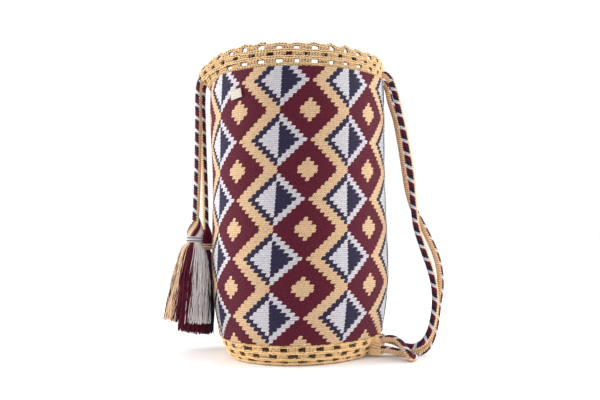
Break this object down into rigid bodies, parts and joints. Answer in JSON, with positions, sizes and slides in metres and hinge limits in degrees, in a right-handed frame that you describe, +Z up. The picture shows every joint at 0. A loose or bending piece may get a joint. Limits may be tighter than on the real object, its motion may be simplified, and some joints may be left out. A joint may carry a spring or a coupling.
{
  "type": "crocheted drawstring backpack",
  "caption": "Round crocheted bucket backpack with a geometric tapestry wall, openwork bands, a tasselled drawcord and a doubled cord shoulder strap.",
  "frame": {"origin": "middle of the base's underside, on the floor", "axes": "+Z up the bag, -Y the front that the picture shows, -X the tassels' side, +X the strap's side"},
  "size_m": [0.3775, 0.2362, 0.3986],
  "materials": {
    "tapestry_yarn": "tapestry crochet in maroon, navy, off-white and tan cotton",
    "tan_yarn": "crocheted tan cotton",
    "striped_cord": "crocheted cord, half tan and half striped",
    "tassel_yarn": "loose cotton strands",
    "binding_yarn": "wound cotton yarn",
    "label_cloth": "plain cream cloth"
  },
  "bodies": {
    "bag": {"base_disc": "tan_yarn", "foot_band": "tan_yarn", "wall": "tapestry_yarn", "rim_band": "tan_yarn", "label": "label_cloth", "strap_tab": "tan_yarn", "drawcord_run": "striped_cord", "drawcord_tail_front": "striped_cord", "drawcord_tail_back": "striped_cord", "strap_front_strand": "striped_cord", "strap_rim_pass": "striped_cord", "strap_back_strand": "striped_cord", "strap_hitch_loop": "striped_cord"},
    "tassel_front": {"tassel_front_bundle": "tassel_yarn", "tassel_front_binding": "binding_yarn"},
    "tassel_back": {"tassel_back_bundle": "tassel_yarn", "tassel_back_binding": "binding_yarn"}
  },
  "joints": [
    {"name": "tassel_front_swing", "type": "hinge", "parent": "bag", "child": "tassel_front", "pos_m": [-0.139, -0.036, 0.175], "axis": [0, 1, 0], "range_deg": [0, 75]},
    {"name": "tassel_back_swing", "type": "hinge", "parent": "bag", "child": "tassel_back", "pos_m": [-0.135, 0.029, 0.163], "axis": [0, 1, 0], "range_deg": [0, 75]}
  ]
}
